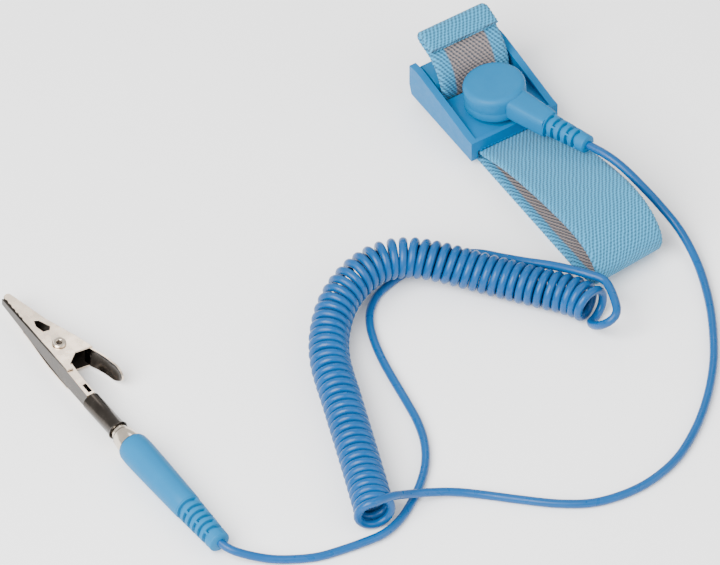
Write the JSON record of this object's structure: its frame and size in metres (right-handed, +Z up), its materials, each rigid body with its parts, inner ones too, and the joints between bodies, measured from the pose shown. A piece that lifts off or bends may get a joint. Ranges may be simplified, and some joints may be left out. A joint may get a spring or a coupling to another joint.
{
  "type": "esd wrist strap",
  "caption": "Elastic wristband with a cam-lever clamp buckle, a press-stud lead cap, a curly cord and a banana plug in an alligator clip.",
  "frame": {"origin": "middle of the wristband and buckle's footprint, on the surface they lie on", "axes": "+X along the band from its loose tail to its loop, +Y across the band away from the curly cord, +Z up"},
  "size_m": [0.1461, 0.1599, 0.0218],
  "materials": {
    "elastic_knit": "knitted elastic",
    "blue_plastic": "satin moulded",
    "deep_blue_plastic": "satin moulded",
    "cord_jacket": "smooth",
    "steel": "satin",
    "nickel": "nickel plate",
    "black_plastic": "satin",
    "resistor_body": "lacquered"
  },
  "bodies": {
    "band_and_buckle": {"wristband": "elastic_knit", "buckle_housing": "blue_plastic", "skin_contact_plate": "steel", "snap_stud": "nickel", "stud_rivet": "steel"},
    "lever": {"clamp_lever": "deep_blue_plastic", "lever_pivot_pin": "steel"},
    "lead": {"socket_spring": "steel", "cord_snap_lead": "cord_jacket", "cord_coil": "cord_jacket", "cord_clip_lead": "cord_jacket", "plug_boot": "blue_plastic", "plug_strain_relief": "blue_plastic", "banana_plug": "nickel"},
    "snap_cap": {"snap_cap_shell": "blue_plastic", "socket_retainer": "black_plastic", "snap_socket": "nickel", "series_resistor": "resistor_body", "snap_strain_relief": "blue_plastic"},
    "plug_spring": {"banana_spring": "nickel"},
    "clip": {"clip_lower_jaw": "nickel", "clip_pivot_rivet": "steel", "clip_torsion_spring": "steel"},
    "clip_jaw": {"clip_upper_jaw": "nickel"}
  },
  "joints": [
    {"name": "lever_open", "type": "hinge", "parent": "band_and_buckle", "child": "lever", "pos_m": [-0.03368, 0, 0.00844], "axis": [0, 1, 0], "range_deg": [0, 55]},
    {"name": "snap_pull_off", "type": "slide", "parent": "band_and_buckle", "child": "lead", "axis": [0, 0, 1], "range_m": [0, 0.006]},
    {"name": "snap_swivel", "type": "hinge", "parent": "lead", "child": "snap_cap", "pos_m": [-0.02008, 0, 0.00904], "axis": [0, 0, 1], "range_deg": [-10, 30]},
    {"name": "clip_turn", "type": "hinge", "parent": "lead", "child": "plug_spring", "pos_m": [0.02002, -0.1376, 0.00424], "axis": [-0.9998, -0.0209, 0], "continuous": true},
    {"name": "clip_pull_off", "type": "slide", "parent": "plug_spring", "child": "clip", "axis": [-0.9998, -0.0209, 0], "range_m": [0, 0.015]},
    {"name": "jaw_open", "type": "hinge", "parent": "clip", "child": "clip_jaw", "pos_m": [-0.01062, -0.13584, 0.00424], "axis": [0, 0, -1], "range_deg": [0, 22], "stiffness_Nm_per_rad": 0.12, "springref_deg": -28.65}
  ]
}
